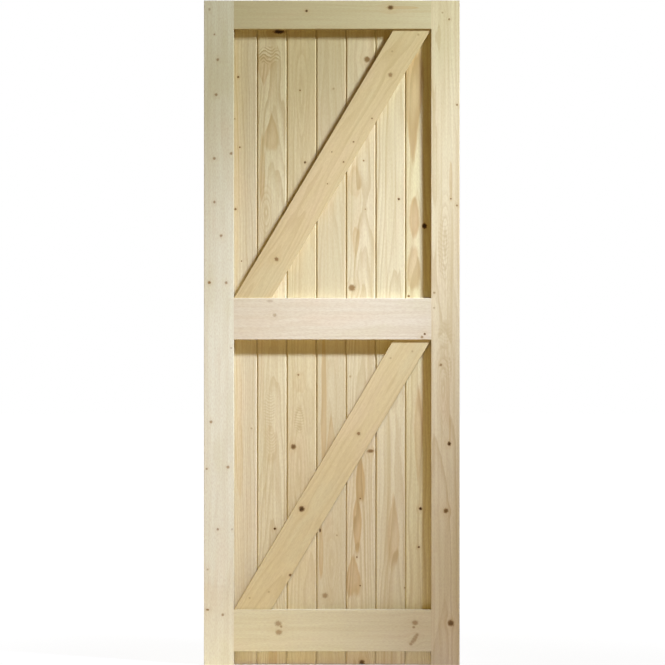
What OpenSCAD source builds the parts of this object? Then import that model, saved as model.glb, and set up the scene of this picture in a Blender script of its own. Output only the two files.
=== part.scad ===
// Framed, ledged and braced gate leaf in planed softwood.
// X runs across the leaf, Z up, and -Y faces the side that shows the ledges and braces.
// The origin is under the middle of the leaf, at the height of its bottom edge.

/* [Leaf] */
// Overall width of the leaf
gate_w = 762; // [686:1:915]
// Overall height of the leaf
gate_h = 1981; // [1829:1:2135]
// Overall thickness of the leaf
gate_t = 44; // [42:0.5:60]

/* [Frame] */
// Face width of the hanging stile, on the left
hanging_w = 89; // [70:1:110]
// Face width of the closing stile, on the right
closing_w = 85; // [70:1:110]
// Face height of the top rail
rail_h = 85; // [75:1:110]
// Face height of the middle and bottom ledges
ledge_h = 124; // [100:1:150]
// Height of the middle ledge's lower edge
middle_ledge_z = 970; // [800:1:1100]
// Height of the bottom ledge's lower edge
bottom_ledge_z = 41; // [15:1:80]
// Radius of the eased edges
arris_r = 1.5; // [0.5:0.1:3]

/* [Tenons and wedges] */
// Thickness of the tenons
tenon_t = 14; // [10:0.5:18]
// Shoulder above and below a ledge's tenon
ledge_shoulder = 20; // [10:1:30]
// Shoulder below the top rail's tenon
rail_shoulder = 8; // [4:1:15]
// Height of the top rail's tenon
rail_tenon_h = 45; // [30:1:55]
// Length of the haunch above the top rail's tenon
haunch_l = 15; // [8:1:22]
// Length of a tenon wedge
wedge_l = 60; // [40:1:65]
// Height of a wedge at its outer end
wedge_h = 8; // [4:0.5:12]
// Glue line between a wedge and its mortise
wedge_clear = 0.05; // [0.02:0.01:0.1]

/* [Boards] */
// Cover width of a full board
board_w = 88.5; // [70:0.5:115]
// Thickness of the boards
board_t = 16; // [14:0.5:19]
// Width and depth of each side of a V joint
v_leg = 3.2; // [1.5:0.1:4]
// Distance of the joints from an even spread about the middle, to the right
joint_shift = -2; // [-10:0.5:10]
// Open gap between neighbouring boards
board_gap = 1.2; // [0.2:0.1:2]
// Gap between the boards and the frame round them
frame_gap = 0.3; // [0.1:0.1:1]
// Thickness of the tongues
tongue_t = 5; // [4:0.5:6]
// Length of the tongues
tongue_l = 6; // [4:0.5:8]
// Clearance on each side of a tongue in its groove
tongue_clear = 0.2; // [0.1:0.05:0.4]
// Clearance past the end of a tongue
groove_clear = 0.6; // [0.3:0.1:1]

/* [Braces] */
// Face width of the braces
brace_w = 96; // [70:1:120]
// Thickness of the braces
brace_t = 22; // [20:0.5:26]

/* [Nails] */
// Diameter of a nail's shank
nail_d = 2.6; // [2:0.1:3]
// Length of a nail
nail_l = 34; // [28:0.5:36]
// Diameter of a nail's head
nail_head_d = 4.4; // [3.5:0.1:6]
// Height of a nail's head
nail_head_h = 1.6; // [1:0.1:2.5]
// Length of a nail's point
nail_point_l = 4; // [2:0.5:6]
// Depth of a nail's head below the face of the boards
nail_sink = 0.4; // [0.2:0.1:1]
// Clearance round a nail in its hole
nail_clear = 0.05; // [0.02:0.01:0.1]
// Height of a board's two ledge nails above and below the ledge's middle
nail_rise = 32; // [15:1:42]

/* [Hidden] */
$fn = 32;
cut = 1;              // how far a cutter runs past the face that it opens
arris_steps = 4;      // straight steps in an eased edge
point_tip_d = 0.4;    // diameter of the blunt tip of a nail's point

half_w = gate_w / 2;
half_t = gate_t / 2;
opening_left = hanging_w - half_w;
opening_right = half_w - closing_w;
opening_w = opening_right - opening_left;
rail_z = gate_h - rail_h;

// Levels in the thickness: the boards lie at the front, and the ledges, tenons and braces behind them.
board_back = half_t - board_t;
board_mid_y = half_t - board_t / 2;
ledge_t = gate_t - board_t;
groove_t = tongue_t + 2 * tongue_clear;
board_groove_l = tongue_l - board_gap + groove_clear;
frame_groove_l = tongue_l - frame_gap + groove_clear;

// Lower and upper face of each tenon
rail_tenon = [rail_z + rail_shoulder, rail_z + rail_shoulder + rail_tenon_h];
middle_tenon = [middle_ledge_z + ledge_shoulder, middle_ledge_z + ledge_h - ledge_shoulder];
bottom_tenon = [bottom_ledge_z + ledge_shoulder, bottom_ledge_z + ledge_h - ledge_shoulder];

// Lower and upper end of each panel, which its brace spans
upper_panel = [middle_ledge_z + ledge_h, rail_z];
lower_panel = [bottom_ledge_z + ledge_h, middle_ledge_z];

// An odd number of boards spreads from near the middle, and the outer two are ripped to fill the opening.
outer_board_most = 1.35;
side_boards = ceil((opening_w / board_w - 1) / 2 - (outer_board_most - 1));
board_count = 2 * side_boards + 1;
function joint_x(i) = i == 0 ? opening_left
    : i == board_count ? opening_right
    : (i - board_count / 2) * board_w + joint_shift;
function board_mid_x(i) = (joint_x(i - 1) + joint_x(i)) / 2;
function board_face_w(i) = joint_x(i) - joint_x(i - 1);

// Colours of the timbers and of the nails
stile_colour = [0.88, 0.84, 0.75];
rail_colour = [0.85, 0.80, 0.68];
ledge_colour = [0.90, 0.85, 0.75];
brace_colour = [0.85, 0.77, 0.61];
board_colour = [0.88, 0.80, 0.65];
wedge_colour = [0.80, 0.68, 0.50];
nail_colour = [0.55, 0.55, 0.56];

// Points of an arc about a centre, from one angle to another
function arc(centre, r, from, to) =
    [for (k = [0:arris_steps]) let (a = from + (to - from) * k / arris_steps)
        centre + r * [cos(a), sin(a)]];

// Outline of a rectangle between two corners, with a radius at each corner from the lower left round
// to the upper left, where 0 leaves the corner square
function eased_rect(low, high, radii) =
    let (corners = [low, [high.x, low.y], high, [low.x, high.y]],
         inward = [[1, 1], [-1, 1], [-1, -1], [1, -1]])
    [for (k = [0:3]) each radii[k] == 0
        ? [corners[k]]
        : arc(corners[k] + radii[k] * inward[k], radii[k], 180 + 90 * k, 270 + 90 * k)];

// An outline drawn in X and Z, made solid from the level front back towards -Y
module upright(front, depth) {
    translate([0, front, 0]) rotate([90, 0, 0]) linear_extrude(depth) children();
}

// An outline drawn in Y and Z, carried along X from one stile to the other
module between_stiles() {
    rotate([90, 0, 90]) translate([0, 0, opening_left]) linear_extrude(opening_w) children();
}

// Mortise through a right-hand stile, flared towards the outer edge for the wedges
module mortise(tenon, stile_w) {
    inner = half_w - stile_w - cut;
    flare_start = half_w - wedge_l * (1 + wedge_clear / wedge_h);
    flare = wedge_clear + wedge_h * (1 + cut / wedge_l);
    upright(board_back, tenon_t)
        polygon([
            [inner, tenon[0]], [flare_start, tenon[0]], [half_w + cut, tenon[0] - flare],
            [half_w + cut, tenon[1] + flare], [flare_start, tenon[1]], [inner, tenon[1]]
        ]);
}

// Slot at the top of a right-hand stile for the top rail's haunch
module haunch_slot(stile_w) {
    upright(board_back, tenon_t)
        translate([half_w - stile_w - cut, rail_tenon[1]])
            square([haunch_l + cut, gate_h - rail_tenon[1] + cut]);
}

// Cutter that eases a right-hand stile's inner edge from one height to another
module inner_easing(from, to, stile_w) {
    corner = [half_w - stile_w, -half_t];
    translate([0, 0, from]) linear_extrude(to - from)
        polygon(concat(
            [corner - cut * [1, 1], corner + [arris_r, -cut]],
            arc(corner + arris_r * [1, 1], arris_r, 270, 180),
            [corner + [-cut, arris_r]]
        ));
}

// Stile as it stands on the right. The left-hand one is mirrored.
module stile(stile_w) {
    color(stile_colour) difference() {
        linear_extrude(gate_h)
            polygon(eased_rect([half_w - stile_w, -half_t], [half_w, half_t], [0, arris_r, arris_r, 0]));
        translate([half_w - stile_w - cut, board_mid_y - groove_t / 2, -cut])
            cube([frame_groove_l + cut, groove_t, rail_z + cut]);
        for (tenon = [rail_tenon, middle_tenon, bottom_tenon]) mortise(tenon, stile_w);
        haunch_slot(stile_w);
        inner_easing(-cut, bottom_ledge_z, stile_w);
        inner_easing(lower_panel[0], lower_panel[1], stile_w);
        inner_easing(upper_panel[0], upper_panel[1], stile_w);
    }
}

// Tenons at both ends of a rail or ledge, right through the stiles
module tenons(tenon) {
    upright(board_back, tenon_t)
        translate([-half_w, tenon[0]]) square([gate_w, tenon[1] - tenon[0]]);
}

module top_rail() {
    color(rail_colour) {
        difference() {
            between_stiles()
                polygon(eased_rect([-half_t, rail_z], [half_t, gate_h], [arris_r, 0, arris_r, arris_r]));
            translate([-half_w, board_mid_y - groove_t / 2, rail_z - cut])
                cube([gate_w, groove_t, frame_groove_l + cut]);
        }
        tenons(rail_tenon);
        upright(board_back, tenon_t)
            translate([opening_left - haunch_l, rail_tenon[1]])
                square([opening_w + 2 * haunch_l, gate_h - rail_tenon[1]]);
    }
}

// A ledge lies behind the boards, level with the back of the stiles, and its tenons are bare-faced.
module ledge(z, tenon) {
    color(ledge_colour) difference() {
        union() {
            between_stiles()
                polygon(eased_rect([-half_t, z], [board_back, z + ledge_h], [arris_r, 0, 0, arris_r]));
            tenons(tenon);
        }
        nail_holes(ledge_nail_points(z));
    }
}

// Horizontal width of a brace whose level-cut ends meet the opposite corners of a panel
function brace_level_w(panel) =
    let (h2 = pow(panel[1] - panel[0], 2), b2 = brace_w * brace_w)
    (sqrt(pow(b2 * opening_w, 2) + (h2 - b2) * b2 * (h2 + opening_w * opening_w)) - b2 * opening_w)
        / (h2 - b2);

// Run of a brace across the leaf for each unit of its rise
function brace_slope(panel) = (opening_w - brace_level_w(panel)) / (panel[1] - panel[0]);

// Height of the middle of a brace above a point of the leaf's width
function brace_mid_z(x, panel) =
    let (upper_edge = panel[0] + (x - opening_left) / brace_slope(panel),
         lower_edge = upper_edge - brace_level_w(panel) / brace_slope(panel))
    (max(panel[0], lower_edge) + min(panel[1], upper_edge)) / 2;

// A brace rises from the hanging stile at the left to the closing stile at the right.
module brace(panel) {
    run = gate_w + panel[1] - panel[0];
    color(brace_colour) difference() {
        intersection() {
            translate([(opening_left + opening_right) / 2, 0, (panel[0] + panel[1]) / 2])
                rotate([0, atan(brace_slope(panel)), 0])
                    translate([0, 0, -run / 2]) linear_extrude(run)
                        polygon(eased_rect([-brace_w / 2, board_back - brace_t],
                                           [brace_w / 2, board_back], [arris_r, arris_r, 0, 0]));
            translate([-half_w, -half_t, panel[0]]) cube([gate_w, gate_t, panel[1] - panel[0]]);
        }
        nail_holes(brace_nail_points(panel));
    }
}

// Points up one edge of a board, from its back face to its front face. side is 1 on the right and -1 on
// the left, and key_l is the length of a tongue, or less than 0 for a groove.
function board_edge(x, side, v_back, key_t, key_l) = concat(
    v_back == 0 ? [[x, board_back]] : [[x - side * v_back, board_back], [x, board_back + v_back]],
    [[x, board_mid_y - key_t / 2],
     [x + side * key_l, board_mid_y - key_t / 2],
     [x + side * key_l, board_mid_y + key_t / 2],
     [x, board_mid_y + key_t / 2],
     [x, half_t - v_leg],
     [x - side * v_leg, half_t]]
);
function reversed(list) = [for (k = [len(list) - 1:-1:0]) list[k]];

// Matchboard, counted from the left. Its right edge has a tongue, and its left edge has the groove that
// takes its neighbour's, apart from the first, which has tongues for the stile as well as for its neighbour.
module board(i) {
    first = i == 1;
    last = i == board_count;
    left = joint_x(i - 1) + (first ? frame_gap : board_gap / 2);
    right = joint_x(i) - (last ? frame_gap : board_gap / 2);
    top = rail_z - frame_gap;
    left_edge = first
        ? board_edge(left, -1, 0, tongue_t, tongue_l)
        : board_edge(left, -1, v_leg, groove_t, -board_groove_l);
    right_edge = board_edge(right, 1, last ? 0 : v_leg, tongue_t, tongue_l);
    color(board_colour) difference() {
        union() {
            linear_extrude(top) polygon(concat(right_edge, reversed(left_edge)));
            translate([left, board_mid_y - tongue_t / 2, top]) cube([right - left, tongue_t, tongue_l]);
        }
        nail_holes([for (p = all_nail_points) if (p.x > left && p.x < right) p]);
    }
}

// Pair of wedges that spreads each end of a pair of tenons
module wedges(tenon) {
    color(wedge_colour) for (side = [0, 1]) mirror([side, 0, 0]) upright(board_back, tenon_t) {
        polygon([[half_w - wedge_l, tenon[1]], [half_w, tenon[1]], [half_w, tenon[1] + wedge_h]]);
        polygon([[half_w - wedge_l, tenon[0]], [half_w, tenon[0] - wedge_h], [half_w, tenon[0]]]);
    }
}

// Two nails hold each board to a ledge, one above and one below its middle.
function ledge_nail_points(z) =
    [for (i = [1:board_count]) for (side = [-1, 1])
        [board_mid_x(i) + side * board_face_w(i) / 4, z + ledge_h / 2 + side * nail_rise]];

// Two nails hold each board to a brace, on the middle of what crosses the board.
function brace_nail_points(panel) =
    [for (i = [1:board_count]) for (side = [-1, 1])
        let (x = board_mid_x(i) + side * board_face_w(i) / 6) [x, brace_mid_z(x, panel)]];

all_nail_points = concat(
    ledge_nail_points(middle_ledge_z), ledge_nail_points(bottom_ledge_z),
    brace_nail_points(upper_panel), brace_nail_points(lower_panel)
);

// Lost-head nails driven from the front of the boards
module nails(points) {
    color(nail_colour) for (p = points)
        translate([p.x, half_t - nail_sink, p.y]) rotate([90, 0, 0]) {
            cylinder(d = nail_head_d, h = nail_head_h);
            cylinder(d = nail_d, h = nail_l - nail_point_l);
            translate([0, 0, nail_l - nail_point_l])
                cylinder(d1 = nail_d, d2 = point_tip_d, h = nail_point_l);
        }
}

module nail_holes(points) {
    for (p = points)
        translate([p.x, half_t + cut, p.y]) rotate([90, 0, 0]) {
            cylinder(d = nail_head_d + 2 * nail_clear, h = cut + nail_sink + nail_head_h + nail_clear);
            cylinder(d = nail_d + 2 * nail_clear, h = cut + nail_sink + nail_l + nail_clear);
        }
}

mirror([1, 0, 0]) stile(hanging_w);  // hanging_stile
stile(closing_w);  // closing_stile
top_rail();
ledge(middle_ledge_z, middle_tenon);  // middle_ledge
ledge(bottom_ledge_z, bottom_tenon);  // bottom_ledge
brace(upper_panel);  // upper_brace
brace(lower_panel);  // lower_brace
for (i = [1:board_count]) board(i);
wedges(rail_tenon);  // top_rail_wedges
wedges(middle_tenon);  // middle_ledge_wedges
wedges(bottom_tenon);  // bottom_ledge_wedges
nails(ledge_nail_points(middle_ledge_z));  // middle_ledge_nails
nails(ledge_nail_points(bottom_ledge_z));  // bottom_ledge_nails
nails(brace_nail_points(upper_panel));  // upper_brace_nails
nails(brace_nail_points(lower_panel));  // lower_brace_nails
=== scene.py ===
"""Looks of a framed, ledged and braced gate leaf in bare planed pine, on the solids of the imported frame."""

import math

import bpy
import numpy as np
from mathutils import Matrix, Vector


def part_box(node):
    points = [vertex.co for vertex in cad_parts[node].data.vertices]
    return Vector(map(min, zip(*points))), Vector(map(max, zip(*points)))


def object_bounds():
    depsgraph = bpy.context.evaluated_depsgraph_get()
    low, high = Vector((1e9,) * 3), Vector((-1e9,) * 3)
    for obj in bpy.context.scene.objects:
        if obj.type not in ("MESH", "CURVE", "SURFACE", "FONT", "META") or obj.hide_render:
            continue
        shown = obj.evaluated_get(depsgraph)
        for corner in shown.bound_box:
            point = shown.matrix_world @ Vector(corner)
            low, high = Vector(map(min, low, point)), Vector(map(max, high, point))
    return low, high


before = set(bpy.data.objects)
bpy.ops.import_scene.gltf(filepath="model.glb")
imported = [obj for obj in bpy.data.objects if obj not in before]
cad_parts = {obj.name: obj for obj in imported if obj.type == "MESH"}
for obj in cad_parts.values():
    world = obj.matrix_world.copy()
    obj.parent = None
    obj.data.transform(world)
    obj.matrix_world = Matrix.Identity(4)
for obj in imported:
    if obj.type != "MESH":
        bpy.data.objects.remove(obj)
solid_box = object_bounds()


# The stiles: two long uprights of planed pine, mortised right through for the rail and the ledges.
# They are cut from pale knotty stock, and the grain runs up their whole length. The pine worked out
# here, with its growth rings, knots, flames of heartwood and curls, serves the other timbers too.
MM = 0.001


def wire(tree, value, socket):
    """Feeds a socket from another node's output, or sets it where the value is a plain number or colour."""
    if isinstance(value, bpy.types.NodeSocket):
        tree.links.new(value, socket)
    else:
        socket.default_value = value


def reckon(tree, operation, *values):
    """One step of arithmetic on numbers that change over the wood."""
    step = tree.nodes.new("ShaderNodeMath")
    step.operation = operation
    for value, socket in zip(values, step.inputs):
        wire(tree, value, socket)
    return step.outputs[0]


def shift(tree, operation, *vectors):
    """One step of arithmetic on places in the wood."""
    step = tree.nodes.new("ShaderNodeVectorMath")
    step.operation = operation
    for value, socket in zip(vectors, step.inputs):
        wire(tree, value, socket)
    return step.outputs["Value" if operation in ("LENGTH", "DOT_PRODUCT") else "Vector"]


def ramp(tree, value, start, end, low=0.0, high=1.0):
    """Runs smoothly from low to high as the value goes from start to end."""
    step = tree.nodes.new("ShaderNodeMapRange")
    step.interpolation_type = "SMOOTHSTEP"
    for number, socket in zip((value, start, end, low, high), step.inputs):
        wire(tree, number, socket)
    return step.outputs[0]


def tone(tree, share, under, over, blend="MIX"):
    """Lays one colour over another by a share from 0 to 1."""
    step = tree.nodes.new("ShaderNodeMix")
    step.data_type = "RGBA"
    step.blend_type = blend
    wire(tree, share, step.inputs[0])
    wire(tree, under, step.inputs[6])
    wire(tree, over, step.inputs[7])
    return step.outputs[2]


def cloud(tree, place, stretch, detail=2.0):
    """Even noise from 0 to 1 with so many lumps to the metre across, through and along the grain."""
    noise = tree.nodes.new("ShaderNodeTexNoise")
    wire(tree, shift(tree, "MULTIPLY", place, stretch), noise.inputs["Vector"])
    noise.inputs["Scale"].default_value = 1.0
    noise.inputs["Detail"].default_value = detail
    return noise.outputs[0]


def sway(tree, place, stretch, reach, detail=2.0):
    """Noise that swings evenly about 0, as far as half the reach to each side."""
    return reckon(tree, "MULTIPLY_ADD", cloud(tree, place, stretch, detail), reach, -reach / 2)


def new_group(name, inputs, outputs):
    """An empty node group with named sockets, and the two nodes at its ends."""
    group = bpy.data.node_groups.new(name, "ShaderNodeTree")
    for side, sockets in (("INPUT", inputs), ("OUTPUT", outputs)):
        for label, kind in sockets.items():
            group.interface.new_socket(name=label, in_out=side, socket_type="NodeSocket" + kind)
    return group, group.nodes.new("NodeGroupInput").outputs, group.nodes.new("NodeGroupOutput").inputs


def place_group(tree, group, **values):
    """Puts a group into a material with its own values, and returns its outputs."""
    node = tree.nodes.new("ShaderNodeGroup")
    node.node_tree = group
    for label, value in values.items():
        wire(tree, value, node.inputs[label.replace("_", " ")])
    return node.outputs


def knot_group():
    """A branch that crosses the timber: its distance in its own radii gives a core and a halo round it,
    and the grain is spread apart by the halo so that it flows past on both sides."""
    ragged_edge = 0.7
    core_rim, core_heart = 1.25, 0.35
    halo_falloff = -0.22
    grain_spread = -0.75
    group, given, made = new_group(
        "pine knot",
        {"Place": "Vector", "Grain": "Vector", "Centre": "Vector", "Radius": "Float", "Stretch": "Float",
         "Depth": "Float", "Core": "Float", "Halo": "Float"},
        {"Grain": "Vector", "Core": "Float", "Halo": "Float"},
    )
    offset = shift(group, "MULTIPLY", shift(group, "SUBTRACT", given["Place"], given["Centre"]), (1, 0, 1))
    apart = group.nodes.new("ShaderNodeSeparateXYZ")
    wire(group, offset, apart.inputs[0])
    half_length = reckon(group, "MULTIPLY", given["Radius"], given["Stretch"])
    across = reckon(group, "DIVIDE", apart.outputs["X"], given["Radius"])
    along = reckon(group, "DIVIDE", apart.outputs["Z"], half_length)
    ragged = sway(group, given["Place"], (260, 60, 260), ragged_edge)
    squared = reckon(group, "MULTIPLY_ADD", along, along, reckon(group, "MULTIPLY", across, across))
    distance = reckon(group, "ADD", reckon(group, "SQRT", squared), ragged)
    core = ramp(group, distance, core_rim, core_heart)
    halo = reckon(group, "EXPONENT", reckon(group, "MULTIPLY", squared, halo_falloff))
    spread = reckon(group, "MULTIPLY", reckon(group, "MULTIPLY", apart.outputs["X"], halo), grain_spread)
    moved = group.nodes.new("ShaderNodeCombineXYZ")
    wire(group, spread, moved.inputs["X"])
    wire(group, shift(group, "ADD", given["Grain"], moved.outputs[0]), made["Grain"])
    for label, mask in (("Core", core), ("Halo", halo)):
        deep = reckon(group, "MULTIPLY", mask, given["Depth"])
        wire(group, reckon(group, "MAXIMUM", given[label], deep), made[label])
    return group


def ring_line(tree, rings):
    """How dark a growth ring is at so many rings: it darkens slowly to its latewood and ends sharply."""
    latewood_starts, latewood_full, ring_ends = 0.25, 0.88, 0.9
    part = reckon(tree, "FRACT", rings)
    darkening = ramp(tree, part, latewood_starts, latewood_full)
    return reckon(tree, "MULTIPLY", darkening, ramp(tree, part, 1.0, ring_ends))


def flame_group():
    """A flame of amber heartwood, where the saw ran close to the heart of the log: a long oval that narrows
    to one end, with a wandering edge and a darker rim, and growth rings that follow it as nested arches."""
    narrowest = 0.15
    edge_wander = 0.9
    amber_ends, amber_full = 1.25, 0.90
    rim_starts, rim_full = 0.45, 0.95
    paler_middle = 0.75
    arch_falloff = -0.9
    group, given, made = new_group(
        "heartwood flame",
        {"Place": "Vector", "Centre": "Vector", "Half Width": "Float", "Half Length": "Float",
         "Taper": "Float", "Rings": "Float", "Depth": "Float", "Arches": "Float", "Calm": "Float",
         "Amber": "Float"},
        {"Arches": "Float", "Calm": "Float", "Amber": "Float"},
    )
    apart = group.nodes.new("ShaderNodeSeparateXYZ")
    wire(group, shift(group, "SUBTRACT", given["Place"], given["Centre"]), apart.inputs[0])
    along = reckon(group, "DIVIDE", apart.outputs["Z"], given["Half Length"])
    tapered = reckon(group, "MULTIPLY_ADD", along, given["Taper"], 1.0)
    half_width = reckon(group, "MULTIPLY", given["Half Width"], reckon(group, "MAXIMUM", tapered, narrowest))
    across = reckon(group, "DIVIDE", apart.outputs["X"], half_width)
    squared = reckon(group, "MULTIPLY_ADD", along, along, reckon(group, "MULTIPLY", across, across))
    wander = sway(group, given["Place"], (60, 20, 9), edge_wander, 3.0)
    rough = reckon(group, "ADD", reckon(group, "SQRT", squared), wander)
    arch = reckon(group, "EXPONENT", reckon(group, "MULTIPLY", squared, arch_falloff))
    calm = reckon(group, "MULTIPLY", arch, reckon(group, "MINIMUM", given["Rings"], 1.0))
    rim = ramp(group, rough, rim_starts, rim_full, paler_middle, 1.0)
    inside = reckon(group, "MULTIPLY", ramp(group, rough, amber_ends, amber_full), rim)
    amber = reckon(group, "MULTIPLY", inside, given["Depth"])
    wire(group, reckon(group, "MULTIPLY_ADD", arch, given["Rings"], given["Arches"]), made["Arches"])
    wire(group, reckon(group, "MAXIMUM", given["Calm"], calm), made["Calm"])
    wire(group, reckon(group, "MAXIMUM", given["Amber"], amber), made["Amber"])
    return group


def curl_group():
    """Curly grain: dark lines that cross the timber in waves, within an oval with a soft edge. A line lies
    wherever the height over the lines' spacing, plus a sine of the distance across, is whole."""
    wave_length = 36.66 * MM
    wave_start = 0.9
    wave_height = 0.45
    liveliness = 1.6
    oval_ends, oval_full = 1.3, 0.5
    group, given, made = new_group(
        "curly grain",
        {"Place": "Vector", "Centre": "Vector", "Half Width": "Float", "Half Length": "Float",
         "Spacing": "Float", "Depth": "Float", "Calm": "Float", "Curl": "Float"},
        {"Calm": "Float", "Curl": "Float"},
    )
    apart = group.nodes.new("ShaderNodeSeparateXYZ")
    wire(group, shift(group, "SUBTRACT", given["Place"], given["Centre"]), apart.inputs[0])
    across = reckon(group, "DIVIDE", apart.outputs["X"], given["Half Width"])
    along = reckon(group, "DIVIDE", apart.outputs["Z"], given["Half Length"])
    squared = reckon(group, "MULTIPLY_ADD", along, along, reckon(group, "MULTIPLY", across, across))
    oval = ramp(group, squared, oval_ends, oval_full)
    lively = sway(group, given["Place"], (60, 20, 30), liveliness)
    angle = reckon(group, "MULTIPLY_ADD", apart.outputs["X"], math.tau / wave_length, wave_start)
    height = reckon(group, "ADD", reckon(group, "DIVIDE", apart.outputs["Z"], given["Spacing"]), lively)
    waved = reckon(group, "MULTIPLY_ADD", reckon(group, "SINE", angle), wave_height, height)
    strength = reckon(group, "MULTIPLY", oval, given["Depth"])
    line = reckon(group, "MULTIPLY", ring_line(group, waved), strength)
    wire(group, reckon(group, "MAXIMUM", given["Calm"], oval), made["Calm"])
    wire(group, reckon(group, "MAXIMUM", given["Curl"], line), made["Curl"])
    return group


LATEWOOD = (0.45, 0.32, 0.13, 1)
CURL_LINE = (0.40, 0.29, 0.11, 1)
BROAD_STREAK = (0.58, 0.47, 0.23, 1)
FINE_STREAK = (0.56, 0.43, 0.20, 1)
RUDDY_BLOTCH = (0.77, 0.60, 0.40, 1)
GREENISH_BLOTCH = (0.66, 0.62, 0.36, 1)
FIBRE_TINT = (0.50, 0.36, 0.20, 1)


def figure_group():
    """Growth rings round the heart of the log: the distance from a leaning heart line, with slow wandering,
    is counted in ring widths. Flames and curls calm them where they have lines of their own."""
    slow_wander, quick_wander = 36 * MM, 5 * MM
    faintest_year = 0.2
    arch_strength = 0.8
    darker_in_amber = 1.4
    streak_share = 0.75
    group, given, made = new_group(
        "pine figure",
        {"Grain": "Vector", "Seed": "Vector", "Heart": "Vector", "Lean": "Vector", "Ring Width": "Float",
         "Arches": "Float", "Calm": "Float", "Curl": "Float", "Amber": "Float", "Contrast": "Float",
         "Sapwood": "Color", "Heartwood": "Color"},
        {"Color": "Color", "Line": "Float", "Fibre": "Float"},
    )
    seeded = shift(group, "ADD", given["Grain"], given["Seed"])
    apart = group.nodes.new("ShaderNodeSeparateXYZ")
    wire(group, given["Grain"], apart.inputs[0])
    leaning = group.nodes.new("ShaderNodeCombineXYZ")
    for axis in ("X", "Y", "Z"):
        wire(group, apart.outputs["Z"], leaning.inputs[axis])
    heart_line = shift(group, "MULTIPLY_ADD", leaning.outputs[0], given["Lean"], given["Heart"])
    from_heart = shift(group, "MULTIPLY", shift(group, "SUBTRACT", given["Grain"], heart_line), (1, 1, 0))
    slow = sway(group, seeded, (11, 11, 1.6), slow_wander)
    quick = sway(group, seeded, (60, 60, 8), quick_wander)
    distance = reckon(group, "ADD", shift(group, "LENGTH", from_heart), reckon(group, "ADD", slow, quick))
    rings = reckon(group, "DIVIDE", distance, given["Ring Width"])
    year = group.nodes.new("ShaderNodeTexWhiteNoise")
    year.noise_dimensions = "1D"
    wire(group, reckon(group, "FLOOR", rings), year.inputs["W"])
    darkness = reckon(group, "MULTIPLY_ADD", year.outputs[0], 1 - faintest_year, faintest_year)
    line = reckon(group, "MULTIPLY", ring_line(group, rings), darkness)
    line = reckon(group, "MULTIPLY", line, reckon(group, "SUBTRACT", 1.0, given["Calm"]))
    arch = reckon(group, "MULTIPLY", ring_line(group, given["Arches"]), given["Calm"])
    line = reckon(group, "ADD", line, reckon(group, "MULTIPLY", arch, arch_strength))
    broad = cloud(group, seeded, (55, 55, 1.1), 3.0)
    streak = cloud(group, seeded, (170, 170, 2.2), 3.0)
    fibre = cloud(group, seeded, (420, 420, 110), 3.0)
    blotch = cloud(group, seeded, (16, 16, 4.0), 3.0)
    deepened = reckon(group, "MULTIPLY_ADD", given["Amber"], darker_in_amber, 1.0)
    late = reckon(group, "MULTIPLY", reckon(group, "MULTIPLY", line, given["Contrast"]), deepened)
    streaky = reckon(group, "MULTIPLY", given["Contrast"], streak_share)
    wood = tone(group, given["Amber"], given["Sapwood"], given["Heartwood"])
    for share, colour in (
            (late, LATEWOOD),
            (given["Curl"], CURL_LINE),
            (reckon(group, "MULTIPLY", ramp(group, broad, 0.42, 0.68), streaky), BROAD_STREAK),
            (reckon(group, "MULTIPLY", ramp(group, streak, 0.40, 0.72), streaky), FINE_STREAK),
            (ramp(group, blotch, 0.52, 0.74, 0.0, 0.20), RUDDY_BLOTCH),
            (ramp(group, blotch, 0.50, 0.28, 0.0, 0.30), GREENISH_BLOTCH),
            (ramp(group, fibre, 0.35, 0.70, 0.0, 0.22), FIBRE_TINT)):
        wood = tone(group, share, wood, colour)
    wire(group, wood, made["Color"])
    wire(group, line, made["Line"])
    wire(group, fibre, made["Fibre"])
    return group


KNOT = knot_group()
FLAME = flame_group()
CURL = curl_group()
FIGURE = figure_group()
HEARTWOOD = (0.57, 0.39, 0.16, 1)
KNOT_HALO = (0.55, 0.40, 0.18, 1)
KNOT_RIM = (0.33, 0.21, 0.085, 1)
KNOT_HEART = (0.055, 0.028, 0.008, 1)
HALO_SHARE = 0.35
END_GRAIN = (0.55, 0.36, 0.17, 1)
END_GRAIN_SHARE = 0.45
# Painted shade: the colour that multiplies the edges of the timbers, so that they read darker than the faces.
PAINTED_EDGE_SHADE = (0.78, 0.70, 0.56, 1)
ROUGHNESS_EARLYWOOD = 0.62
ROUGHNESS_LATEWOOD = 0.50
PLANED_GLOSS = 0.12
GRAIN_RELIEF = 0.3 * MM
GRAIN_RELIEF_STRENGTH = 0.25
FIBRE_RELIEF_SHARE = 0.5


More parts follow.
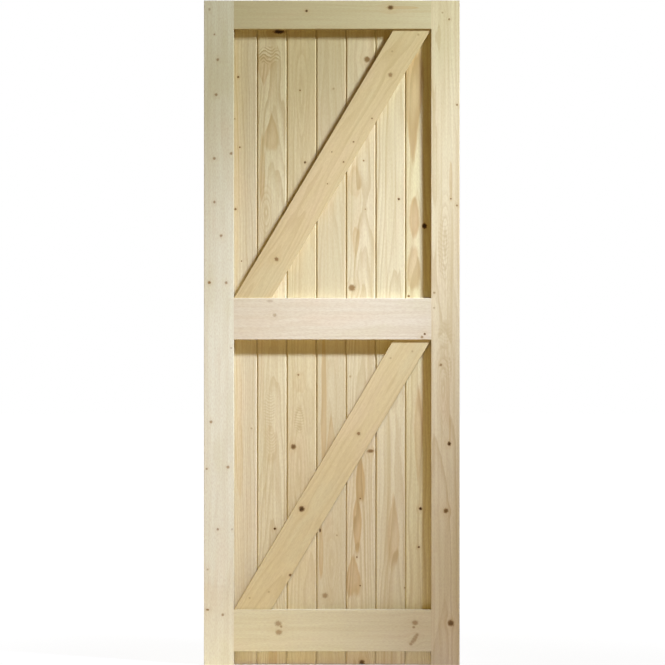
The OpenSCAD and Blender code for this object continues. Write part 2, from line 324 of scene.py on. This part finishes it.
def pine(node, sapwood, turn=0.0, heart=(0.0, 90.0), lean=(0.0, 0.0), ring=4.0, contrast=0.30, knots=(),
         flames=(), curls=()):
    """Solid pine for one timber. turn is the angle of its grain from upright, towards the closing stile.
    heart is where the middle of its log lies across and through the timber, and lean is how far that
    wanders for each unit of length. Knots are (across the leaf, height, diameter, depth of colour, stretch),
    flames (across, height, width, length, widening upwards, depth of colour, rings) and curls (across,
    height, width, length, spacing of the lines, depth of colour), in millimetres of the leaf. Edges are
    darkened with painted shade, except where they face up."""
    low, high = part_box(node)
    middle = (low + high) / 2
    sin, cos = math.sin(turn), math.cos(turn)

    def on_timber(x, z):
        """A place on the leaf, as across and along the grain of this timber."""
        dx, dz = x * MM - middle.x, z * MM - middle.z
        return (dx * cos - dz * sin, 0, dx * sin + dz * cos)

    material = bpy.data.materials.new("pine " + node.replace("_", " "))
    material.use_nodes = True
    tree = material.node_tree
    surface = tree.nodes["Principled BSDF"]
    where = tree.nodes.new("ShaderNodeTexCoord")
    mapping = tree.nodes.new("ShaderNodeMapping")
    wire(tree, where.outputs["Object"], mapping.inputs["Vector"])
    mapping.inputs["Rotation"].default_value = (0, -turn, 0)
    across, _, along = on_timber(0, 0)
    mapping.inputs["Location"].default_value = (across, -middle.y, along)
    place = mapping.outputs[0]

    grain, core, halo = place, 0.0, 0.0
    for x, z, diameter, depth, stretch in knots:
        grain, core, halo = place_group(
            tree, KNOT, Place=place, Grain=grain, Centre=on_timber(x, z), Radius=diameter / 2 * MM,
            Stretch=stretch, Depth=depth, Core=core, Halo=halo).values()
    arches, calm, amber = 0.0, 0.0, 0.0
    for x, z, width, length, taper, depth, rings in flames:
        arches, calm, amber = place_group(
            tree, FLAME, Place=place, Centre=on_timber(x, z), Half_Width=width / 2 * MM,
            Half_Length=length / 2 * MM, Taper=taper, Rings=rings, Depth=depth, Arches=arches, Calm=calm,
            Amber=amber).values()
    curl = 0.0
    for x, z, width, length, spacing, depth in curls:
        calm, curl = place_group(
            tree, CURL, Place=place, Centre=on_timber(x, z), Half_Width=width / 2 * MM,
            Half_Length=length / 2 * MM, Spacing=spacing * MM, Depth=depth, Calm=calm, Curl=curl).values()
    seed = np.random.default_rng(sum(map(ord, node))).uniform(2, 30, 3)
    wood, line, fibre = place_group(
        tree, FIGURE, Grain=grain, Seed=tuple(seed), Heart=(heart[0] * MM, heart[1] * MM, 0),
        Lean=(*lean, 0), Ring_Width=ring * MM, Arches=arches, Calm=calm, Curl=curl, Amber=amber,
        Contrast=contrast, Sapwood=(*sapwood, 1), Heartwood=HEARTWOOD).values()
    if knots:
        wood = tone(tree, reckon(tree, "MULTIPLY", halo, HALO_SHARE), wood, KNOT_HALO)
        wood = tone(tree, ramp(tree, core, 0.0, 0.60), wood, KNOT_RIM)
        wood = tone(tree, ramp(tree, core, 0.45, 1.0), wood, KNOT_HEART)

    endwise = shift(tree, "DOT_PRODUCT", where.outputs["Normal"], (sin, 0, cos))
    through = shift(tree, "DOT_PRODUCT", where.outputs["Normal"], (0, 1, 0))
    upward = shift(tree, "DOT_PRODUCT", where.outputs["Normal"], (0, 0, 1))
    end_grain = ramp(tree, reckon(tree, "ABSOLUTE", endwise), 0.6, 0.9, 0.0, END_GRAIN_SHARE)
    # Painted shade on the edges: faces that look sideways or down are darkened, and faces that look up keep
    # their full colour.
    edge = ramp(tree, reckon(tree, "ABSOLUTE", through), 0.80, 0.10)
    edge_shade_mask = reckon(tree, "MULTIPLY", edge, ramp(tree, upward, 0.9, 0.3))
    wood = tone(tree, end_grain, wood, END_GRAIN)
    wood = tone(tree, edge_shade_mask, wood, PAINTED_EDGE_SHADE, "MULTIPLY")
    wire(tree, wood, surface.inputs["Base Color"])
    roughness = ramp(tree, line, 0.0, 1.0, ROUGHNESS_EARLYWOOD, ROUGHNESS_LATEWOOD)
    wire(tree, roughness, surface.inputs["Roughness"])
    surface.inputs["Specular IOR Level"].default_value = PLANED_GLOSS
    bump = tree.nodes.new("ShaderNodeBump")
    bump.inputs["Strength"].default_value = GRAIN_RELIEF_STRENGTH
    bump.inputs["Distance"].default_value = GRAIN_RELIEF
    wire(tree, reckon(tree, "MULTIPLY_ADD", fibre, FIBRE_RELIEF_SHARE, line), bump.inputs["Height"])
    wire(tree, bump.outputs[0], surface.inputs["Normal"])
    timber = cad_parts[node]
    timber.data.materials.clear()
    timber.data.materials.append(material)


pine("hanging_stile", (0.85, 0.85, 0.66), heart=(15, 110), lean=(0.004, 0.006), ring=6.0, contrast=0.14,
     knots=((-365, 1955, 9, 0.3, 1.4), (-350, 1880, 7, 0.42, 1.0), (-340, 1805, 11, 0.42, 1.0),
            (-345, 1700, 11, 0.42, 1.0), (-300, 1525, 11, 0.42, 1.0), (-350, 1510, 11, 0.42, 1.0),
            (-350, 1380, 10, 0.42, 1.0), (-330, 1280, 11, 0.42, 1.0), (-365, 1140, 11, 0.55, 1.0),
            (-315, 1140, 11, 0.42, 1.0), (-300, 945, 8, 0.3, 1.0), (-360, 725, 11, 0.42, 1.0),
            (-310, 590, 11, 0.42, 1.0), (-373, 585, 8, 0.42, 1.0), (-340, 405, 10, 0.42, 1.0),
            (-297, 405, 8, 0.3, 1.0), (-370, 285, 8, 0.3, 1.0), (-370, 165, 12, 0.55, 0.6),
            (-325, 150, 10, 0.42, 1.0)),
     flames=((-337, 0, 320, 470, 0, 0.2, 0),))
pine("closing_stile", (0.77, 0.70, 0.46), heart=(-30, 90), lean=(-0.006, 0.010), ring=6.0, contrast=0.46,
     knots=((350, 1925, 8, 0.55, 1.0), (330, 1945, 8, 0.3, 1.0), (373, 1670, 8, 0.55, 1.0),
            (355, 1390, 6, 0.8, 1.0), (373, 1370, 8, 0.55, 1.0), (305, 1110, 9, 0.4, 1.0),
            (305, 1065, 9, 0.3, 1.0), (325, 895, 11, 0.55, 1.0), (350, 660, 12, 0.9, 1.3),
            (340, 460, 17, 0.75, 1.0), (355, 125, 22, 0.75, 1.0)),
     flames=((355, 1440, 8, 110, 0, 0.5, 0), (338, 1260, 36, 280, 0.2, 0.05, 5), (352, 700, 6, 80, 0, 0.5, 0),
             (332, 820, 38, 240, 0.5, 0.05, 5)),
     curls=((332, 1245, 34, 190, 14, 0.20), (338, 985, 46, 90, 12, 0.16), (345, 885, 28, 80, 12, 0.18)))


# The top rail: a shorter length of the same stock, laid level between the stiles.
# Its ends are tenoned right through the tops of the stiles, with a haunch, and wedged.
LEVEL = math.pi / 2
pine("top_rail", (0.68, 0.63, 0.39), turn=LEVEL, heart=(20, 80), lean=(0.010, 0.004), ring=5.0, contrast=0.26,
     knots=((-75, 1950, 9, 0.9, 1.0), (175, 1960, 16, 0.8, 1.3)),
     flames=((210, 1960, 8, 90, 0, 0.6, 0),))


# The ledges: two deep level boards of planed pine across the matchboards, tenoned through both stiles.
# The matchboards run past behind them and are nailed to them.
pine("middle_ledge", (0.77, 0.71, 0.53), turn=LEVEL, heart=(-20, 120), lean=(0.006, 0.004), ring=6.0,
     contrast=0.18,
     knots=((-185, 1085, 12, 0.25, 2.0), (-170, 1043, 15, 0.3, 1.0), (277, 987, 8, 0.8, 1.0),
            (269, 978, 10, 0.5, 1.0)))
pine("bottom_ledge", (0.73, 0.68, 0.43), turn=LEVEL, heart=(10, 120), lean=(0.004, 0.006), ring=6.0,
     contrast=0.20,
     knots=((-160, 124, 20, 0.40, 1.3), (-151, 115, 10, 0.40, 1.0), (-158, 98, 20, 0.40, 1.3),
            (248, 126, 19, 0.40, 1.2), (244, 113, 10, 0.40, 1.0), (254, 90, 13, 0.36, 1.0),
            (250, 84, 16, 0.36, 1.0), (246, 77, 17, 0.36, 1.0), (241, 70, 16, 0.36, 1.0),
            (236, 63, 13, 0.36, 1.0)))


# The braces: two slanting struts of yellower pine, cut level at both ends. Each stands on a ledge at the
# hanging side and pushes up against what is above it at the closing side.
def brace_turn(node):
    """The angle of a brace from upright: its run between the ends of one edge, over its rise."""
    corners = np.array([v.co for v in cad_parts[node].data.vertices])
    low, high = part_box(node)
    top_end = corners[corners[:, 2] > high.z - 0.1 * MM, 0]
    return math.atan2(high.x - low.x - np.ptp(top_end), high.z - low.z)


pine("upper_brace", (0.70, 0.58, 0.31), turn=brace_turn("upper_brace"), heart=(-10, 70), lean=(0.006, 0.012),
     ring=5.0, contrast=0.32,
     knots=((258, 1880, 9, 0.3, 1.0), (180, 1830, 8, 0.3, 1.0), (175, 1760, 16, 0.5, 1.0),
            (120, 1630, 6, 0.7, 1.0), (65, 1560, 6, 0.7, 1.0), (0, 1530, 5, 0.6, 1.0),
            (35, 1500, 6, 0.7, 1.0), (-13, 1435, 5, 0.7, 1.0), (-165, 1210, 15, 0.6, 1.0)))
pine("lower_brace", (0.70, 0.59, 0.31), turn=brace_turn("lower_brace"), heart=(20, 70), lean=(0.004, 0.010),
     ring=5.0, contrast=0.26,
     knots=((240, 935, 8, 0.3, 1.0), (175, 915, 8, 0.3, 1.0), (80, 690, 13, 0.6, 1.0),
            (-90, 465, 20, 0.9, 1.0), (-124, 268, 10, 0.75, 1.0), (-188, 218, 8, 0.3, 1.0),
            (-245, 200, 8, 0.3, 1.0)))


# The matchboards: tongued and grooved boards with a V at each joint, nailed to the ledges and braces.
# Each is sawn from a different log, so rings, knots and flames of heartwood differ from board to board.
pine("board_1", (0.75, 0.69, 0.47), heart=(-60, 40), lean=(0.004, 0.010), ring=5.0, contrast=0.36,
     knots=((-280, 1755, 8, 0.8, 1.0), (-290, 1630, 5, 0.6, 1.0), (-275, 1545, 6, 0.7, 1.0),
            (-288, 1360, 9, 0.7, 1.0), (-270, 1205, 5, 0.7, 1.0), (-240, 705, 8, 0.3, 1.0)),
     flames=((-285, 1500, 14, 800, 0, 0.3, 0), (-278, 789, 18, 260, 0, 0.25, 0),
             (-277, 620, 22, 220, 0, 0.3, 0)))
pine("board_2", (0.78, 0.72, 0.46), heart=(5, 45), lean=(0.010, 0.030), ring=5.0, contrast=0.50,
     knots=((-158, 1890, 40, 1.0, 0.35), (-170, 405, 9, 0.9, 1.0)),
     flames=((-203, 1775, 36, 90, 0.9, 0.5, 0), (-180, 1590, 36, 100, -0.7, 0.6, 0),
             (-208, 1480, 14, 190, -0.3, 0.6, 0), (-196, 1350, 44, 150, 0.1, 0.1, 5),
             (-178, 20, 24, 160, 0, 0.6, 0), (-184, 660, 34, 110, -0.4, 0.25, 0)),
     curls=((-188, 1820, 70, 54, 11, 0.85), (-187, 760, 36, 110, 9, 0.30), (-184, 664, 40, 80, 10, 0.25)))
pine("board_3", (0.74, 0.66, 0.39), heart=(30, 60), lean=(0.006, 0.006), ring=6.0, contrast=0.40,
     knots=((-95, 1715, 6, 0.7, 1.0), (-80, 1500, 8, 0.8, 1.0), (-100, 865, 7, 0.6, 1.0),
            (-115, 650, 19, 0.75, 1.0)),
     flames=((-90, 1700, 50, 420, 0.6, 0.05, 4), (-97, 590, 60, 440, -0.3, 0.05, 5),
             (-95, 843, 34, 60, 0, 0.2, 0)),
     curls=((-98, 730, 32, 84, 8, 0.32),))
pine("board_4", (0.69, 0.62, 0.38), heart=(-10, 50), lean=(0.003, 0.016), ring=5.0, contrast=0.28,
     knots=((5, 1720, 8, 0.3, 1.0), (-35, 400, 6, 0.9, 2.6), (15, 385, 8, 0.3, 1.0),
            (-20, 205, 20, 0.42, 1.0)),
     flames=((-24, 770, 14, 420, 0, 0.7, 0), (-2, 640, 26, 200, -0.7, 0.6, 0), (-32, 336, 12, 140, 0, 0.7, 0),
             (0, 300, 48, 260, 0.5, 0.05, 4)))
pine("board_5", (0.77, 0.70, 0.45), heart=(0, 40), lean=(0.010, 0.022), ring=6.0, contrast=0.55,
     knots=((106, 1808, 22, 0.6, 1.0), (95, 1505, 6, 0.6, 1.0), (100, 1360, 5, 0.6, 1.0),
            (60, 1125, 24, 0.55, 1.0), (55, 860, 8, 0.3, 1.0), (116, 637, 22, 0.65, 0.6),
            (85, 495, 6, 0.7, 1.0), (75, 320, 5, 0.7, 1.6), (85, 235, 6, 0.8, 1.0), (90, 5, 20, 0.8, 1.0)),
     flames=((68, 1345, 34, 290, 0.7, 0.25, 0), (68, 1440, 34, 95, 0, 0.45, 0),
             (72, 1262, 18, 90, 0.7, 0.6, 0), (85, 547, 24, 120, -0.2, 1.0, 0),
             (76, 412, 22, 150, 0.2, 0.9, 0), (64, 264, 34, 115, -0.5, 0.8, 0)))
pine("board_6", (0.78, 0.72, 0.46), heart=(15, 55), lean=(0.004, 0.014), ring=6.0, contrast=0.50,
     knots=((200, 1390, 8, 0.9, 1.0), (219, 228, 5, 0.8, 1.0)),
     flames=((184, 397, 30, 190, -0.4, 0.5, 0),))
pine("board_7", (0.79, 0.74, 0.43), heart=(-5, 40), lean=(0.006, 0.020), ring=6.0, contrast=0.40,
     knots=((277, 1310, 16, 1.0, 1.2), (230, 1100, 9, 0.7, 1.0), (265, 465, 11, 1.0, 1.0),
            (260, 350, 8, 0.8, 1.0)),
     flames=((243, 1695, 42, 340, 0.4, 0.85, 0), (246, 1335, 28, 112, 0, 0.9, 0),
             (244, 1180, 38, 120, 0, 0.6, 0), (259, 680, 22, 260, 0.3, 0.6, 0)))


# The wedges: thin tapers of darker offcut with close rings, four to each rail or ledge.
# They are glued and driven into the ends of the tenons from the outer edge and planed flush.
for wedges in ("top_rail_wedges", "middle_ledge_wedges", "bottom_ledge_wedges"):
    pine(wedges, (0.62, 0.45, 0.26), turn=LEVEL, heart=(0, 30), ring=2.0, contrast=0.35)


# The nails: bright steel wire, a little tarnished, with small lost heads.
# They are driven from the face of the boards into the ledges and braces.
NAIL_BRIGHT = (0.52, 0.52, 0.53, 1)
NAIL_TARNISHED = (0.30, 0.28, 0.27, 1)
ROUGHNESS_BRIGHT = 0.32
ROUGHNESS_TARNISHED = 0.55
nail_steel = bpy.data.materials.new("bright nail wire")
nail_steel.use_nodes = True
nail_tree = nail_steel.node_tree
nail_surface = nail_tree.nodes["Principled BSDF"]
nail_place = nail_tree.nodes.new("ShaderNodeTexCoord").outputs["Object"]
nail_tarnish = cloud(nail_tree, nail_place, (900, 900, 900))
nail_colour = tone(nail_tree, nail_tarnish, NAIL_BRIGHT, NAIL_TARNISHED)
wire(nail_tree, nail_colour, nail_surface.inputs["Base Color"])
nail_surface.inputs["Metallic"].default_value = 1.0
nail_roughness = ramp(nail_tree, nail_tarnish, 0.3, 0.7, ROUGHNESS_BRIGHT, ROUGHNESS_TARNISHED)
wire(nail_tree, nail_roughness, nail_surface.inputs["Roughness"])
for nails in ("middle_ledge_nails", "bottom_ledge_nails", "upper_brace_nails", "lower_brace_nails"):
    nail_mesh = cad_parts[nails].data
    nail_mesh.materials.clear()
    nail_mesh.materials.append(nail_steel)


# The floor and the room: a matt floor that is white to the eye, with a faint shadow round the leaf and its
# full shadow right under it. To the lamps' light it is yellow, and it also glows with a low light of its own,
# unseen by the eye, that stands in for light sent back to the leaf, cool close by and warm further off. The
# room adds a trace of warm light.
FLOOR_REACH = 30.0
floor_mesh = bpy.data.meshes.new("floor")
floor_corner = FLOOR_REACH * np.array([(-1, -1, 0), (1, -1, 0), (1, 1, 0), (-1, 1, 0)])
floor_mesh.from_pydata(floor_corner.tolist(), [], [(0, 1, 2, 3)])
floor = bpy.data.objects.new("floor", floor_mesh)
bpy.context.scene.collection.objects.link(floor)
floor_paint = bpy.data.materials.new("white floor")
floor_paint.use_nodes = True
floor_tree = floor_paint.node_tree
floor_tree.nodes.remove(floor_tree.nodes["Principled BSDF"])


def seen_ray(tree):
    """1 for rays that the eye sees, straight, in a gloss or through glass, and 0 for rays that only light."""
    path = tree.nodes.new("ShaderNodeLightPath").outputs
    seen = reckon(tree, "MAXIMUM", path["Is Camera Ray"], path["Is Glossy Ray"])
    return reckon(tree, "MAXIMUM", seen, path["Is Transmission Ray"])


FLOOR_SEEN = (0.80, 0.80, 0.80, 1)
FLOOR_LIT = (0.90, 0.78, 0.25, 1)
SHADOW_SHARE = 0.12
SHADOW_NEAR, SHADOW_FAR = 0.6, 2.2
FLOOR_GLOW = 1.04
floor_seen = seen_ray(floor_tree)
matt = floor_tree.nodes.new("ShaderNodeBsdfDiffuse")
wire(floor_tree, tone(floor_tree, floor_seen, FLOOR_LIT, FLOOR_SEEN), matt.inputs["Color"])
glow = floor_tree.nodes.new("ShaderNodeEmission")
glow.inputs["Strength"].default_value = FLOOR_GLOW

half_width, half_thickness = solid_box[1][0], solid_box[1][1]
floor_place = floor_tree.nodes.new("ShaderNodeTexCoord").outputs["Object"]
from_origin = shift(floor_tree, "LENGTH", floor_place)
from_leaf = reckon(floor_tree, "ABSOLUTE", shift(floor_tree, "DOT_PRODUCT", floor_place, (0, 1, 0)))
from_middle = reckon(floor_tree, "ABSOLUTE", shift(floor_tree, "DOT_PRODUCT", floor_place, (1, 0, 0)))
under_leaf = reckon(
    floor_tree, "MULTIPLY",
    ramp(floor_tree, from_leaf, half_thickness + 2 * MM, half_thickness - 2 * MM),
    ramp(floor_tree, from_middle, half_width - 1 * MM, half_width - 11 * MM))
white_share = ramp(floor_tree, from_origin, SHADOW_NEAR, SHADOW_FAR, 1 - SHADOW_SHARE, 1.0)
white_share = reckon(floor_tree, "MULTIPLY", white_share, reckon(floor_tree, "SUBTRACT", 1.0, under_leaf))

NEAR_BOUNCE = (0.40, 0.42, 0.75, 1)
FAR_BOUNCE = (0.36, 0.26, 0.0, 1)
COOL_WITHIN, WARM_BEYOND = 0.2, 1.8
BOUNCE_FULL, BOUNCE_ENDS = 0.3, 3.0
# A glow that stands in for bounced light: the floor gives off this light only for rays that light the leaf.
bounce = floor_tree.nodes.new("ShaderNodeEmission")
warmth = ramp(floor_tree, from_leaf, COOL_WITHIN, WARM_BEYOND)
bounce_colour = tone(floor_tree, warmth, NEAR_BOUNCE, FAR_BOUNCE)
wire(floor_tree, bounce_colour, bounce.inputs["Color"])
near = ramp(floor_tree, from_origin, BOUNCE_FULL, BOUNCE_ENDS, 1.0, 0.0)
unseen = reckon(floor_tree, "SUBTRACT", 1.0, floor_seen)
wire(floor_tree, reckon(floor_tree, "MULTIPLY", near, unseen), bounce.inputs["Strength"])
lit = floor_tree.nodes.new("ShaderNodeAddShader")
wire(floor_tree, matt.outputs[0], lit.inputs[0])
wire(floor_tree, bounce.outputs[0], lit.inputs[1])
mixed = floor_tree.nodes.new("ShaderNodeMixShader")
wire(floor_tree, reckon(floor_tree, "MULTIPLY", floor_seen, white_share), mixed.inputs[0])
wire(floor_tree, lit.outputs[0], mixed.inputs[1])
wire(floor_tree, glow.outputs[0], mixed.inputs[2])
wire(floor_tree, mixed.outputs[0], floor_tree.nodes["Material Output"].inputs["Surface"])
floor_mesh.materials.append(floor_paint)

ROOM_FILL = (0.03, 0.01, 0.0, 1)
ROOM_SEEN = (1, 1, 1, 1)
room = bpy.data.worlds.new("room")
bpy.context.scene.world = room
room.use_nodes = True
room_tree = room.node_tree
room_light = room_tree.nodes["Background"]
wire(room_tree, tone(room_tree, seen_ray(room_tree), ROOM_FILL, ROOM_SEEN), room_light.inputs["Color"])


# The lamps: a key of four beams high on the right, close to the leaf and thrown down across its face.
# A weak warm lamp stands in front, a broad one lights the boarded face from behind, and a small one
# lights the hanging edge.
def hang_lamp(name, kind, place, aim, watts, colour):
    """Hangs a lamp at a place, turned so that it shines at the aim."""
    lamp = bpy.data.lights.new(name, kind)
    lamp.energy = watts
    lamp.color = colour
    holder = bpy.data.objects.new(name, lamp)
    bpy.context.scene.collection.objects.link(holder)
    holder.location = place
    holder.visible_camera = False
    way = np.subtract(aim, place)
    tilt = math.atan2(math.hypot(way[0], way[1]), -way[2])
    heading = math.atan2(way[0], -way[1]) + math.pi
    holder.rotation_euler = (tilt, 0, heading)
    return lamp


BEAMS_OUT = -1.32
BEAM_SOFTNESS = 0.16
for beam, aim, full_angle, watts, colour, across, height in (
        ("low beam", (-0.30, 0, 0.37), 22.1, 187, (0.86, 0.99, 1.37), 1.52, 3.19),
        ("middle beam", (-0.27, 0, 0.56), 33.0, 302, (0.94, 1.02, 1.46), 1.52, 3.19),
        ("high beam", (-0.04, 0, 1.87), 52.8, 144, (0.92, 1.00, 1.07), 1.86, 3.03),
        ("top beam", (-0.04, 0, 1.87), 52.8, 176, (0.92, 1.00, 1.07), 1.86, 3.35)):
    key = hang_lamp(beam, "SPOT", (across, BEAMS_OUT, height), aim, watts, colour)
    key.spot_size = math.radians(full_angle)
    key.spot_blend = 1.0
    key.shadow_soft_size = BEAM_SOFTNESS
for lamp, place, aim, watts, colour, size in (
        ("lamp in front", (-0.3, -1.8, 0.85), (0.0, 0.0, 0.6), 6.2, (1.0, 0.65, 0.16), 0.8),
        ("lamp behind", (1.2, 3.2, 2.6), (0.0, 0.0, 0.9), 122.0, (1.0, 0.98, 0.95), 1.6),
        ("lamp at the hanging side", (-2.6, 1.2, 1.4), (-0.4, 0.0, 1.0), 15.0, (1.0, 0.98, 0.95), 1.0)):
    panel = hang_lamp(lamp, "AREA", place, aim, watts, colour)
    panel.size = size


# The camera: square on to the braced side at half height, from far off with a long lens.
# The leaf fills the height of the picture, and the lens follows from its height in pixels.
CAMERA_OFF = 10.0
IMAGE_PX = 665
LEAF_PX = 664.6
LEAF_MIDDLE_PX = (331.8, 332.8)
low, high = solid_box
leaf_h = high[2] - low[2]
px_per_m = LEAF_PX / leaf_h
eye = bpy.data.cameras.new("eye")
eye.sensor_width = 36.0
eye.lens = eye.sensor_width * px_per_m * CAMERA_OFF / IMAGE_PX
eye_holder = bpy.data.objects.new("eye", eye)
bpy.context.scene.collection.objects.link(eye_holder)
eye_holder.location = (
    (IMAGE_PX / 2 - LEAF_MIDDLE_PX[0]) / px_per_m,
    low[1] - CAMERA_OFF,
    leaf_h / 2 + (LEAF_MIDDLE_PX[1] - IMAGE_PX / 2) / px_per_m,
)
eye_holder.rotation_euler = (math.pi / 2, 0, 0)
bpy.context.scene.camera = eye_holder
bpy.context.scene.view_settings.view_transform = "Standard"
